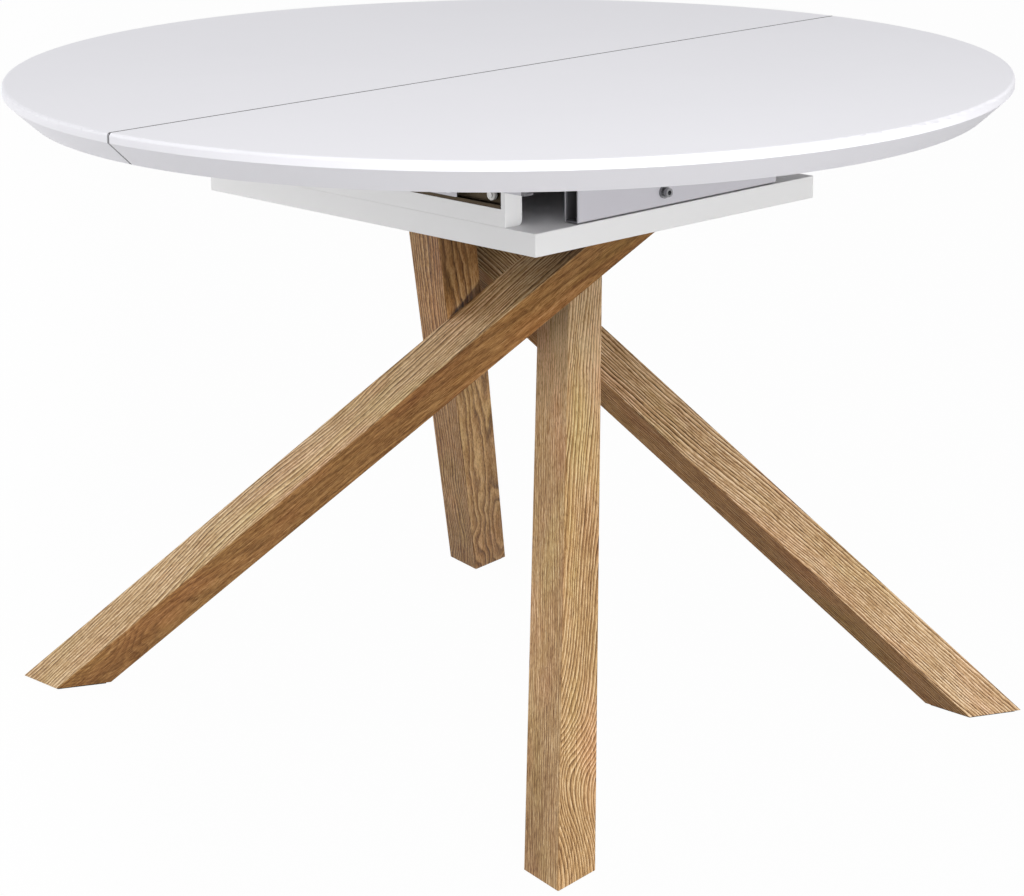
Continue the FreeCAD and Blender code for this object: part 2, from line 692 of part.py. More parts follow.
def make_rack_bolt(half):
    place = rack_bolt_place(half)
    body = new_body(f"{half_names[half]}_rack_bolt")
    seat = f"({fascia_front}+rack_washer_thickness)"
    rods(body, "YZ_Plane", *along(half, f"{fascia_back}-rack_bolt_grip", seat), "rack_bolt_radius", [place])
    crown = f"({seat}+rack_bolt_head_height)"
    rods(body, "YZ_Plane", *along(half, seat, crown), "rack_bolt_head", [place])
    cut(body, "YZ_Plane", *along(half, f"{crown}-rack_bolt_socket_depth", f"{crown}+cut_overrun"),
        hexagon("rack_bolt_socket", place))
    washer = new_body(f"{half_names[half]}_rack_washer")
    sketch = sketch_on(washer, "YZ_Plane", along(half, fascia_front, seat)[0])
    draw_circle(sketch, "rack_washer_radius", place)
    draw_circle(sketch, "rack_bolt_radius+fit_gap", place)
    feature(washer, "Pad", sketch, "rack_washer_thickness")


def make_pinion():
    # Involute teeth from a formula, with a gap of the gear facing each rack at rest
    teeth = int(value("pinion_teeth"))
    pitch, module = value(pitch_radius), value("gear_module")
    pressure = math.radians(value("pressure_angle"))
    base, tip = pitch * math.cos(pressure), pitch + module
    root = pitch - module - value("gear_root_gap")
    middle = math.pi / (2 * teeth) - value("gear_backlash") / (4 * pitch) + math.tan(pressure) - pressure

    def half_angle(radius):
        slope = math.acos(min(1, base / radius))
        return middle - (math.tan(slope) - slope)

    flank = [(root, middle), (base, middle)]
    flank += [(radius, half_angle(radius)) for radius in (pitch, (pitch + tip) / 2, tip)]
    points = []
    for number in range(teeth):
        axis = 2 * math.pi * (number + 1 / 2) / teeth - math.pi / 2
        for sign, side in ((-1, flank), (1, flank[::-1])):
            for radius, angle in side:
                turn = axis + sign * angle
                points.append(FreeCAD.Vector(radius * math.cos(turn), radius * math.sin(turn), 0))
    outline = Part.makePolygon(points + points[:1])
    thickness = value("rack_thickness")
    gear = Part.Face(outline).extrude(FreeCAD.Vector(0, 0, thickness))
    bore = Part.makeCylinder(value("pinion_pin_radius+fit_gap"), thickness)
    pinion = doc.addObject("Part::Feature", "pinion")
    pinion.Shape = gear.cut(bore)
    pinion.Label = "pinion"
    pinion.Placement = FreeCAD.Placement(FreeCAD.Vector(0, 0, value(rack_bottom)), FreeCAD.Rotation())
    sub_parts.append(pinion)


def make_gear_housing():
    # Guide that the racks slide in, with flanges screwed to the plate
    body = new_body("gear_housing")
    wall, face = f"({rack_back}+running_gap)", f"({rack_back}+running_gap+housing_wall)"
    edge = f"({face}+housing_flange)"
    floor, shelf = f"{rack_bottom}-running_gap", f"{plate_top}+housing_flange_height"
    right = [(edge, plate_top), (edge, shelf), (face, shelf),
             (face, rack_top), (wall, rack_top), (wall, floor)]
    left = [(f"-{y}", z) for y, z in reversed(right)]
    extrude(body, "YZ_Plane", "-housing_length/2", "housing_length", right + left)
    bores(body, "XY_Plane", f"{plate_top}-cut_overrun", "rack_height+cut_overrun",
          "pinion_pin_radius+fit_gap", [("0", "0")])
    bores(body, "XY_Plane", f"{plate_top}-cut_overrun", "housing_flange_height+2*cut_overrun",
          "housing_screw_radius+screw_gap", housing_screw_places)


def make_pinion_pin():
    body = new_body("pinion_pin")
    top = f"({rack_top}+running_gap)"
    rods(body, "XY_Plane", plate_top, f"{top}-{plate_top}", "pinion_pin_radius", [("0", "0")])
    rods(body, "XY_Plane", top, "pinion_pin_head_height", "pinion_pin_head", [("0", "0")])


def make_housing_screws():
    body = new_body("housing_screws")
    shelf = f"({plate_top}+housing_flange_height)"
    tip = f"({plate_top}-housing_screw_depth+screw_gap)"
    rods(body, "XY_Plane", tip, f"{shelf}-{tip}", "housing_screw_radius", housing_screw_places)
    rods(body, "XY_Plane", shelf, "housing_screw_head_height", "housing_screw_head", housing_screw_places)


# Hinge and dowel places on the folded leaf, counted from its spine at +Y
hinge_places = [f"({sign})*hinge_spacing/2" for sign in (-1, 1)]
leaf_dowel_lines = [f"{leaf_length_half}-seam_dowel_{place}" for place in ("near", "far")]
hinge_edge = f"({leaf_length_half}-hinge_leaf)"


def make_leaf_panel(label, up):
    # Panel with the top's edge form at its free end; the undersides meet in the fold
    body = new_body(label)

    def level(distance):
        return f"{fold_level}+({up})*({distance})"

    free_end = f"-{leaf_length_half}"
    inset = "(leaf_thickness-edge_round-edge_face)*bevel_inset/bevel_height"
    brow = level("leaf_thickness-edge_round")
    extrude(body, "YZ_Plane", f"-{leaf_half}", f"2*{leaf_half}", [
        (leaf_length_half, level("0")), (leaf_length_half, level("leaf_thickness")),
        (f"{free_end}+edge_round", level("leaf_thickness"), f"{free_end}+edge_round", brow),
        (free_end, brow), (free_end, level("leaf_thickness-edge_round-edge_face")),
        (f"{free_end}+{inset}", level("0"))])
    recess = f"{fold_level}-hinge_sheet" if up < 0 else fold_level
    cut(body, "XY_Plane", recess, "hinge_sheet",
        *[rectangle(f"{x}-hinge_length/2", f"{x}+hinge_length/2",
                    hinge_edge, f"{leaf_length_half}+cut_overrun") for x in hinge_places])
    dowels = [(y, level("leaf_thickness/2")) for y in leaf_dowel_lines]
    bores(body, "YZ_Plane", f"{leaf_half}-seam_socket_depth", "seam_socket_depth+cut_overrun",
          "seam_dowel_radius+running_gap", dowels)
    bores(body, "YZ_Plane", f"-{leaf_half}-cut_overrun", "cut_overrun+seam_dowel_length/2",
          "seam_dowel_radius+fit_gap", dowels)


def make_leaf_dowels():
    body = new_body("leaf_dowels")
    places = [(y, f"{fold_level}+({up})*leaf_thickness/2") for up in (-1, 1) for y in leaf_dowel_lines]
    rods(body, "YZ_Plane", f"-{leaf_half}-seam_dowel_length/2", "seam_dowel_length",
         "seam_dowel_radius", places)


def make_hinge_plates(label, up, knuckle_shares):
    # Flaps let into the panel, with the knuckles that this panel's side of each hinge carries
    body = new_body(label)
    flap = f"{fold_level}-hinge_sheet" if up < 0 else fold_level
    extrude(body, "XY_Plane", flap, "hinge_sheet",
            *[rectangle(f"{x}-hinge_length/2", f"{x}+hinge_length/2", hinge_edge,
                        f"{leaf_length_half}+hinge_side_gap") for x in hinge_places])
    for x in hinge_places:
        for low, high in knuckle_shares:
            start, length = f"{x}+hinge_length*({low})", f"hinge_length*({high}-({low}))-hinge_side_gap"
            extrude(body, "XY_Plane", flap, "hinge_sheet",
                    rectangle(start, f"{start}+{length}", f"{leaf_length_half}", hinge_axis))
            rods(body, "YZ_Plane", start, length, "hinge_knuckle", [(hinge_axis, fold_level)])
    bores(body, "YZ_Plane", "-(hinge_spacing+hinge_length)", "2*(hinge_spacing+hinge_length)",
          "hinge_pin+fit_gap", [(hinge_axis, fold_level)])


def make_hinge_pins():
    body = new_body("leaf_hinge_pins")
    for x in hinge_places:
        rods(body, "YZ_Plane", f"{x}-hinge_length/2", "hinge_length-hinge_side_gap", "hinge_pin",
             [(hinge_axis, fold_level)])


make_base_plate()
for leg_name, leg_corner in leg_corners.items():
    make_leg(leg_name, leg_corner)
    make_foot_pad(f"{leg_name}_pad", leg_corner)
make_leg_bolts()
for rail_side in side_names:
    make_rail(rail_side)
    make_keeper(rail_side)
    for rail_lane in lane_names:
        make_channel(rail_side, rail_lane)
        for roller_station in range(len(station_names)):
            make_roller(rail_side, rail_lane, roller_station)
make_rail_screws()
make_axles()
make_gear_housing()
make_housing_screws()
make_pinion_pin()
make_pinion()
for table_half in half_names:
    for rail_side in side_names:
        make_runner(table_half, rail_side)
    make_fascia(table_half)
    make_top_screws(table_half)
    make_top(table_half)
    make_rack(table_half)
    make_rack_bolt(table_half)
make_seam_dowels()
make_leaf_panel("leaf_lower_panel", -1)
make_leaf_panel("leaf_upper_panel", 1)
make_leaf_dowels()
make_hinge_plates("leaf_hinge_lower_plates", -1, outer_knuckle_shares)
make_hinge_plates("leaf_hinge_upper_plates", 1, middle_knuckle_shares)
make_hinge_pins()

doc.recompute()
faults = [item.Label for item in doc.Objects if "Invalid" in item.State or "Error" in item.State]
faults += [item.Label for item in sub_parts
           if item.Shape.isNull() or not item.Shape.isValid() or not item.Shape.Solids]
faults += [after.Label for before, after in cuts if after.Shape.Volume >= before.Shape.Volume]
if faults:
    raise RuntimeError(f"failed objects: {faults}")
os.makedirs("parts", exist_ok=True)
for item in sub_parts:
    item.Shape.exportStep(f"parts/{item.Label}.step")
print(len(sub_parts), "sub-parts written")
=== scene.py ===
import bpy
import json
import math
from mathutils import Matrix, Vector

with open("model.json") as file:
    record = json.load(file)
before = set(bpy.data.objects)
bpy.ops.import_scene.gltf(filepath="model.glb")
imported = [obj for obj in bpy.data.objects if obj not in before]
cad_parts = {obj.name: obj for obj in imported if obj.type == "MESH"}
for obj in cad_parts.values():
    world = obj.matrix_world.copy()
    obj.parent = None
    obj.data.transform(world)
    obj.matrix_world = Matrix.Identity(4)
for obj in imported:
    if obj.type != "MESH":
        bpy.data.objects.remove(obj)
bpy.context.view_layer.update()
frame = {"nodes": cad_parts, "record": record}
nodes = frame["nodes"]
slotOf = {entry["node"]: entry["material_slot"] for entry in frame["record"]["subparts"]}
print("frame loaded:", len(nodes), "nodes")

surfaceOutputs = ("Color", "Roughness", "Height")
socketKinds = {float: "NodeSocketFloat", tuple: "NodeSocketColor", type(None): "NodeSocketVector"}
middle = 0.5  # of a noise that runs from 0 to 1


def addNode(tree, kind, **settings):  # a shader node with its options set
    node = tree.nodes.new(kind)
    for name, setting in settings.items():
        setattr(node, name, setting)
    return node


def setInputs(node, numbers):
    for label, number in numbers.items():
        node.inputs[label].default_value = number


def feed(tree, socket, source):  # a plain value goes on the socket itself, an output is linked to it
    if isinstance(source, (int, float)):
        socket.default_value = source
    elif isinstance(source, tuple):
        socket.default_value = (*source, 1)[:len(socket.default_value)]
    else:
        tree.links.new(source, socket)


def newGroup(name, inputs, outputs):  # inputs by their starting values, None for a vector
    group = bpy.data.node_groups.new(name, "ShaderNodeTree")
    for label, start in inputs.items():
        socket = group.interface.new_socket(label, in_out="INPUT", socket_type=socketKinds[type(start)])
        if start is not None:
            socket.default_value = start
    for label in outputs:
        kind = "NodeSocketColor" if label == "Color" else "NodeSocketFloat"
        group.interface.new_socket(label, in_out="OUTPUT", socket_type=kind)
    return group, group.nodes.new("NodeGroupInput").outputs, group.nodes.new("NodeGroupOutput").inputs


def mathNode(tree, operation, *sources):
    node = addNode(tree, "ShaderNodeMath", operation=operation)
    for socket, source in zip(node.inputs, sources):
        feed(tree, socket, source)
    return node.outputs["Value"]


def times(tree, first, *others):
    for other in others:
        first = mathNode(tree, "MULTIPLY", first, other)
    return first


def plus(tree, first, *others):
    for other in others:
        first = mathNode(tree, "ADD", first, other)
    return first


def minus(tree, first, *others):
    for other in others:
        first = mathNode(tree, "SUBTRACT", first, other)
    return first


def vectorNode(tree, operation, *sources):
    node = addNode(tree, "ShaderNodeVectorMath", operation=operation)
    for socket, source in zip(node.inputs, sources):
        feed(tree, socket, source)
    return node.outputs["Value" if operation in ("LENGTH", "DOT_PRODUCT") else "Vector"]


def parts(tree, vector):  # the X, Y and Z of a vector
    split = addNode(tree, "ShaderNodeSeparateXYZ")
    tree.links.new(vector, split.inputs["Vector"])
    return split.outputs


def surfaceNormal(tree):
    return addNode(tree, "ShaderNodeNewGeometry").outputs["Normal"]


def noiseNode(tree, vector, scale, detail=2.0, roughness=0.5, output="Fac"):
    node = addNode(tree, "ShaderNodeTexNoise")
    setInputs(node, {"Detail": detail, "Roughness": roughness})
    feed(tree, node.inputs["Scale"], scale)
    tree.links.new(vector, node.inputs["Vector"])
    return node.outputs[output]


def rampNode(tree, source, stops):
    node = addNode(tree, "ShaderNodeValToRGB")
    ramp = node.color_ramp
    while len(ramp.elements) < len(stops):
        ramp.elements.new(middle)
    for element, (place, tone) in zip(ramp.elements, stops):
        element.position = place
        element.color = (tone, tone, tone, 1)
    tree.links.new(source, node.inputs["Fac"])
    return node.outputs["Color"]


def mixColour(tree, mode, factor, first, second):
    node = addNode(tree, "ShaderNodeMix", data_type="RGBA", blend_type=mode)
    for place, source in ((0, factor), (6, first), (7, second)):  # the node's colour sockets
        feed(tree, node.inputs[place], source)
    return node.outputs[2]


def rangeNode(tree, source, ends):
    node = addNode(tree, "ShaderNodeMapRange")
    setInputs(node, ends)
    tree.links.new(source, node.inputs["Value"])
    return node.outputs["Result"]


def toRange(tree, source, low, high):  # 0..1 to a working range
    return rangeNode(tree, source, {"To Min": low, "To Max": high})


def fromRange(tree, source, low, high):  # a working range to 0..1
    return rangeNode(tree, source, {"From Min": low, "From Max": high})


def startMaterial(name):
    material = bpy.data.materials.new(name)
    material.use_nodes = True
    tree = material.node_tree
    return material, tree, addNode(tree, "ShaderNodeTexCoord").outputs["Object"]


def shifted(tree, coordinates, location, rotation=(0.0, 0.0, 0.0)):  # places in a pattern's own frame
    mapping = addNode(tree, "ShaderNodeMapping", vector_type="POINT")
    setInputs(mapping, {"Location": location, "Rotation": rotation})
    tree.links.new(coordinates, mapping.inputs["Vector"])
    return mapping.outputs["Vector"]


def placeGroup(tree, group, coordinates, numbers):
    node = addNode(tree, "ShaderNodeGroup", node_tree=group)
    setInputs(node, numbers)
    tree.links.new(coordinates, node.inputs["Vector"])
    return node


def joinShader(tree, surface, settings):  # colour, roughness and height to the material's own shader
    shader = tree.nodes["Principled BSDF"]
    tree.links.new(surface["Color"], shader.inputs["Base Color"])
    tree.links.new(surface["Roughness"], shader.inputs["Roughness"])
    bump = addNode(tree, "ShaderNodeBump")
    setInputs(bump, {"Strength": settings["bump"], "Distance": settings["depth"]})
    tree.links.new(surface["Height"], bump.inputs["Height"])
    tree.links.new(bump.outputs["Normal"], shader.inputs["Normal"])
    setInputs(shader, settings["shader"])


def newMaterial(name, group, settings):
    material, tree, coordinates = startMaterial(name)
    if "shift" in settings:
        coordinates = shifted(tree, coordinates, settings["shift"])
    effect = placeGroup(tree, group, coordinates, settings["effect"])
    surface = {label: effect.outputs[label] for label in surfaceOutputs}
    if "band" in settings:
        band = placeGroup(tree, paintedShadeBand, coordinates, settings["band"])
        tree.links.new(surface["Color"], band.inputs["Color"])
        surface["Color"] = band.outputs["Color"]
    joinShader(tree, surface, settings)
    return material


def dress(material, *names):
    for name in names:
        mesh = nodes[name].data
        mesh.materials.clear()
        mesh.materials.append(material)


grain = {
    "slowBend": {"stretch": (0.3, 1, 1), "scale": 8.0},
    "fineBend": {"stretch": (0.5, 1, 1), "scale": 30.0},
    "fineAmount": 0.0045,
    "yearScale": 55.0,  # broad and narrow years
    "yearSpread": 2.4,
    "early": [(0.0, 0.4), (0.05, 1.0), (0.18, 0.9), (0.32, 0.2), (0.46, 0.0), (0.95, 0.0), (1.0, 0.4)],
    "late": [(0.0, 0.2), (0.1, 0.0), (0.55, 0.35), (0.84, 1.0), (0.95, 0.7), (1.0, 0.2)],
    "harvestRange": (0.5, 1.1),  # each year has its own strength
    "clearRange": (0.55, 1.0),
    "dashRange": (0.35, 1.0),
    "fibreTone": 0.4,
    "patchTone": 0.24,
    "baseTone": 0.055,
    "headLightRange": (0.47, 0.27),  # painted light near the head: metres below the head where it begins and where it is full
    "blushTint": (1.06, 0.95, 0.98),
    "oliveTint": (0.95, 1.0, 0.82),
    "oliveShift": (3.1, 0.7, 0.4),
    "lineTint": (0.13, 0.085, 0.05),
    "poreTint": (0.42, 0.34, 0.26),
    "downFaceShadeRange": (-0.15, -0.5),  # painted shade on faces turned down, growing over this height of the normal
    "downFaceShadeDepth": 0.85,
    "downFaceShadeTint": (0.9, 0.74, 0.52),
    # painted shade at the head of each leg, under the plate
    "headShadeTint": (0.12, 0.075, 0.045),
    "roughness": (0.66, 0.5),
    "fibreHeight": 0.3,
    "lineHeight": 0.8,
    "poreHeight": 0.4,
    "streakRoughness": 0.6,
    "streaks": {  # noise drawn out along the bar: stretch, scale, detail and the ends that spread to 0..1
        "clear": {"along": 0.14, "scale": 24.0, "detail": 2.0, "low": 0.32, "high": 0.66},
        "dash": {"along": 0.06, "scale": 1000.0, "detail": 1.0, "low": 0.42, "high": 0.6},
        "fibre": {"along": 0.045, "scale": 600.0, "detail": 3.0, "low": 0.36, "high": 0.64},
        "pore": {"along": 0.15, "scale": 950.0, "detail": 1.0, "low": 0.56, "high": 0.66},
        "patch": {"along": 0.25, "scale": 14.0, "detail": 2.0, "low": 0.3, "high": 0.7},
        "fleck": {"along": 0.08, "scale": 1250.0, "detail": 1.0, "low": 0.34, "high": 0.66},
        "blush": {"along": 0.3, "scale": 19.0, "detail": 2.0, "low": 0.48, "high": 0.72},
        "olive": {"along": 0.3, "scale": 16.0, "detail": 2.0, "low": 0.52, "high": 0.74},
    },
}


def bend(tree, vector, plan, amount):  # pushes places about by a slow noise
    drawn = vectorNode(tree, "MULTIPLY", vector, plan["stretch"])
    push = noiseNode(tree, drawn, plan["scale"], output="Color")
    pull = addNode(tree, "ShaderNodeVectorMath", operation="SCALE")
    tree.links.new(vectorNode(tree, "SUBTRACT", push, (middle, middle, middle)), pull.inputs[0])
    feed(tree, pull.inputs["Scale"], amount)
    return vectorNode(tree, "ADD", vector, pull.outputs["Vector"])


def streaks(tree, vector, name):
    layer = grain["streaks"][name]
    drawn = vectorNode(tree, "MULTIPLY", vector, (layer["along"], 1, 1))
    noise = noiseNode(tree, drawn, layer["scale"], layer["detail"], grain["streakRoughness"])
    return fromRange(tree, noise, layer["low"], layer["high"])


# oak: growth rings about a pith beside the bar, pores in the early wood, fine fibres, broad patches; painted
# shade on downturned faces and at each leg's head, painted light below some heads
def oakGroup():
    group, given, result = newGroup("oakGrain", {
        "Vector": None,
        "Foot": 0.0,
        "Ring Width": 0.004,
        "Ring Lean": 0.02,
        "Warp": 0.012,
        "Swell Place": 0.1,
        "Swell Size": 0.07,
        "Swell Depth": 0.0,
        "Dark": (0.19, 0.092, 0.034, 1),
        "Middle": (0.46, 0.282, 0.124, 1),
        "Light": (0.78, 0.58, 0.35, 1),
        "Ring Tone": 0.58,
        "Line Depth": 1.0,
        "Pore Depth": 0.6,
        "Fleck Depth": 0.35,
        "Tone": 0.0,
        "Head": 10.0,
        # painted shade near the head: how far down it reaches and how dark it is
        "Head Reach": 0.17,
        "Head Shade": 0.43,
        "Head Painted Light": 0.0,
    }, surfaceOutputs)
    place = given["Vector"]
    warped = bend(group, place, grain["slowBend"], given["Warp"])
    warped = bend(group, warped, grain["fineBend"], grain["fineAmount"])
    split = parts(group, warped)
    run = minus(group, split["X"], given["Foot"])  # up the bar
    below = minus(group, given["Head"], run)

    away = mathNode(group, "DIVIDE", minus(group, run, given["Swell Place"]), given["Swell Size"])
    swell = mathNode(group, "EXPONENT", times(group, away, away, -1.0))  # the rings bulge at one place
    shift = plus(group, times(group, run, given["Ring Lean"]), times(group, swell, given["Swell Depth"]))
    across = addNode(group, "ShaderNodeCombineXYZ")
    for axis in ("Y", "Z"):
        group.links.new(plus(group, split[axis], shift), across.inputs[axis])
    radius = vectorNode(group, "LENGTH", across.outputs["Vector"])
    year = noiseNode(group, across.outputs["Vector"], grain["yearScale"], 0.0)
    rings = mathNode(group, "DIVIDE", radius, given["Ring Width"])
    count = plus(group, rings, times(group, year, grain["yearSpread"]))
    phase = mathNode(group, "FRACT", count)
    harvest = addNode(group, "ShaderNodeTexWhiteNoise", noise_dimensions="1D")
    group.links.new(mathNode(group, "FLOOR", count), harvest.inputs["W"])
    early = rampNode(group, phase, grain["early"])
    late = rampNode(group, phase, grain["late"])

    clear = toRange(group, streaks(group, place, "clear"), *grain["clearRange"])
    strength = times(group, toRange(group, harvest.outputs["Value"], *grain["harvestRange"]), clear)
    dash = toRange(group, streaks(group, warped, "dash"), *grain["dashRange"])
    line = times(group, early, strength, dash)
    fibre = streaks(group, warped, "fibre")
    pore = streaks(group, warped, "pore")
    patch = streaks(group, place, "patch")
    fleck = minus(group, streaks(group, warped, "fleck"), middle)

    lift = fromRange(group, below, *grain["headLightRange"])  # painted light: some faces are made paler towards the head, lifting the shadow other legs cast on them there
    tone = plus(group, times(group, late, given["Ring Tone"]), times(group, fibre, grain["fibreTone"]),
                times(group, patch, grain["patchTone"]), times(group, fleck, given["Fleck Depth"]),
                grain["baseTone"], given["Tone"], times(group, lift, given["Head Painted Light"]))
    colour = mixColour(group, "MIX", fromRange(group, tone, 0.0, middle), given["Dark"], given["Middle"])
    colour = mixColour(group, "MIX", fromRange(group, tone, middle, 1.0), colour, given["Light"])

    olivePlace = vectorNode(group, "ADD", place, grain["oliveShift"])
    # painted shade: faces turned down are darkened and warmed
    under = fromRange(group, parts(group, surfaceNormal(group))["Z"], *grain["downFaceShadeRange"])
    near = mathNode(group, "DIVIDE", below, given["Head Reach"])
    headCornerShade = fromRange(group, times(group, near, near), 1.0, 0.0)  # painted shade: dark in the corner under the plate, where the legs' heads lie in shade
    for share, tint in (
            (streaks(group, place, "blush"), "blushTint"),
            (streaks(group, olivePlace, "olive"), "oliveTint"),
            (times(group, line, given["Line Depth"]), "lineTint"),
            (times(group, pore, given["Pore Depth"]), "poreTint"),
            (times(group, under, grain["downFaceShadeDepth"]), "downFaceShadeTint"),
            (times(group, headCornerShade, given["Head Shade"]), "headShadeTint")):
        colour = mixColour(group, "MULTIPLY", share, colour, grain[tint])
    group.links.new(colour, result["Color"])

    group.links.new(toRange(group, fibre, *grain["roughness"]), result["Roughness"])
    height = minus(group, times(group, fibre, grain["fibreHeight"]), times(group, line, grain["lineHeight"]),
                   times(group, pore, grain["poreHeight"]))
    group.links.new(height, result["Height"])
    return group


skin = {
    "cloudDetail": 4.0,
    "cloudRoughness": 0.55,
    "cloudShare": 0.7,
    "grainDetail": 2.0,
    "grainRoughness": 0.6,
}


# sprayed and moulded skins: clouded tone, speckle and a fine skin texture
def skinGroup():
    group, given, result = newGroup("sprayedSkin", {
        "Vector": None,
        "Color": (0.8, 0.8, 0.8, 1),
        "Shade": (0.7, 0.7, 0.7, 1),
        "Cloud Scale": 7.0,
        "Grain Scale": 500.0,
        "Grain Tint": 0.1,
        "Roughness": 0.35,
        "Roughness Spread": 0.08,
    }, surfaceOutputs)
    place = given["Vector"]
    cloud = noiseNode(group, place, given["Cloud Scale"], skin["cloudDetail"], skin["cloudRoughness"])
    speck = noiseNode(group, place, given["Grain Scale"], skin["grainDetail"], skin["grainRoughness"])
    blend = plus(group, times(group, cloud, skin["cloudShare"]), times(group, speck, given["Grain Tint"]))
    group.links.new(mixColour(group, "MIX", blend, given["Color"], given["Shade"]), result["Color"])
    wander = times(group, minus(group, cloud, middle), given["Roughness Spread"])
    group.links.new(plus(group, given["Roughness"], wander), result["Roughness"])
    group.links.new(speck, result["Height"])
    return group


plating = {
    "drawn": (0.04, 1, 1),
    "lineShare": 0.4,
    "cloudScale": 55.0,
    "cloudDetail": 3.0,
    "cloudRoughness": 0.6,
    "cloudShare": 0.6,
    "roughnessSpread": 0.3,
}


# plated steel: drawn lines along one way, cloudy plating and dull spots
def platedGroup():
    group, given, result = newGroup("platedSteel", {
        "Vector": None,
        "Color": (0.6, 0.6, 0.6, 1),
        "Shade": (0.4, 0.4, 0.4, 1),
        "Line Scale": 900.0,
        "Roughness": 0.35,
    }, surfaceOutputs)
    place = given["Vector"]
    lines = noiseNode(group, vectorNode(group, "MULTIPLY", place, plating["drawn"]), given["Line Scale"])
    cloud = noiseNode(group, place, plating["cloudScale"], plating["cloudDetail"], plating["cloudRoughness"])
    blend = plus(group, times(group, lines, plating["lineShare"]), times(group, cloud, plating["cloudShare"]))
    group.links.new(mixColour(group, "MIX", blend, given["Color"], given["Shade"]), result["Color"])
    wander = times(group, minus(group, blend, middle), plating["roughnessSpread"])
    group.links.new(plus(group, given["Roughness"], wander), result["Roughness"])
    group.links.new(lines, result["Height"])
    return group


wallNormal = 0.95  # faces squarer to the seam than this are its walls


# painted shade band: darkens what lies between two distances from the table's seam plane
def bandGroup():
    group, given, result = newGroup("paintedShadeBand", {
        "Vector": None,
        "Color": (0.8, 0.8, 0.8, 1),
        "Near": 0.0,
        "Far": 0.001,
        "Depth": 0.5,
        "Wall Share": 1.0,
    }, ("Color",))
    distance = mathNode(group, "ABSOLUTE", parts(group, given["Vector"])["X"])
    inside = times(group, mathNode(group, "GREATER_THAN", distance, given["Near"]),
                   mathNode(group, "LESS_THAN", distance, given["Far"]))
    facing = mathNode(group, "ABSOLUTE", parts(group, surfaceNormal(group))["X"])
    wall = mathNode(group, "GREATER_THAN", facing, wallNormal)
    spared = times(group, wall, minus(group, 1.0, given["Wall Share"]))
    depth = times(group, given["Depth"], minus(group, 1.0, spared))
    colour = mixColour(group, "MULTIPLY", times(group, inside, depth), given["Color"], (0.0, 0.0, 0.0))
    group.links.new(colour, result["Color"])
    return group


oakGrain = oakGroup()
sprayedSkin = skinGroup()
platedSteel = platedGroup()
paintedShadeBand = bandGroup()
print("shader groups built")

oak = {
    "effect": {"Warp": 0.02},
    "bump": 0.3,
    "depth": 0.0005,
    "shader": {"Specular IOR Level": 0.2},
    "legs": {  # two pairs of faces each; pith is where the bar's foot lies from the tree's middle
        "front_leg": [
            {"pith": (0.0, 0.02, 0.15), "Ring Width": 0.0042, "Ring Lean": -0.06, "Tone": -0.15,
             "Swell Place": 0.085, "Swell Size": 0.07, "Swell Depth": 0.026, "Fleck Depth": 0.15,
             "Head Painted Light": 0.27},
            {"pith": (0.3, 0.13, 0.02), "Ring Width": 0.0032, "Ring Lean": 0.008, "Tone": -0.13,
             "Ring Tone": 0.3, "Line Depth": 0.65, "Head Painted Light": 0.5}],
        "right_leg": [
            {"pith": (1.2, 0.03, 0.11), "Ring Width": 0.004, "Ring Lean": 0.015, "Tone": -0.24,
             "Line Depth": 1.4, "Head Shade": 1.0, "Head Reach": 0.2},
            {"pith": (1.5, 0.12, 0.02), "Ring Width": 0.0036, "Ring Lean": 0.015, "Tone": -0.13,
             "Middle": (0.45, 0.285, 0.14, 1), "Light": (0.75, 0.575, 0.385, 1),
             "Swell Place": 0.5, "Swell Size": 0.2, "Swell Depth": 0.008,
             "Line Depth": 1.6, "Head Shade": 1.0, "Head Reach": 0.2}],
        "back_leg": [
            {"pith": (2.4, -0.11, 0.05), "Ring Width": 0.0058, "Ring Lean": 0.03, "Tone": -0.04,
             "Swell Place": 0.1, "Swell Size": 0.1, "Swell Depth": 0.024, "Head Shade": 0.74},
            {"pith": (2.7, -0.12, 0.012), "Ring Width": 0.0044, "Ring Lean": 0.012, "Tone": -0.2,
             "Swell Place": 0.12, "Swell Size": 0.09, "Swell Depth": 0.02, "Head Shade": 0.22}],
        "left_leg": [
            {"pith": (3.6, 0.012, 0.10), "Ring Width": 0.0042, "Ring Lean": 0.045, "Tone": 0.02,
             "Swell Place": 0.3, "Swell Size": 0.15, "Swell Depth": 0.012,
             "Line Depth": 1.25, "Head Shade": 0.95},
            {"pith": (3.9, 0.03, 0.11), "Ring Width": 0.005, "Ring Lean": 0.035, "Tone": -0.12,
             "Swell Place": 0.06, "Swell Size": 0.06, "Swell Depth": 0.02,
             "Ring Tone": 0.16, "Line Depth": 0.36, "Head Shade": 0.3}],
    },
}
levelReach = 1e-5  # metres, for points at the same height


def middleOf(points):  # of the box round them
    return (Vector(map(max, *points)) + Vector(map(min, *points))) / 2


def legFrame(name):  # turns places into a frame with X up the leg and Y, Z square to its faces
    points = [vertex.co for vertex in nodes[name].data.vertices]
    low = min(point.z for point in points)
    high = max(point.z for point in points)
    foot = middleOf([point for point in points if point.z - low < levelReach])
    head = middleOf([point for point in points if high - point.z < levelReach])
    axis = (head - foot).normalized()
    level = axis.cross(Vector((0, 0, 1))).normalized()
    upright = level.cross(axis)
    side = (level + upright).normalized()
    return foot, Matrix((axis, side, axis.cross(side))), (head - foot).length


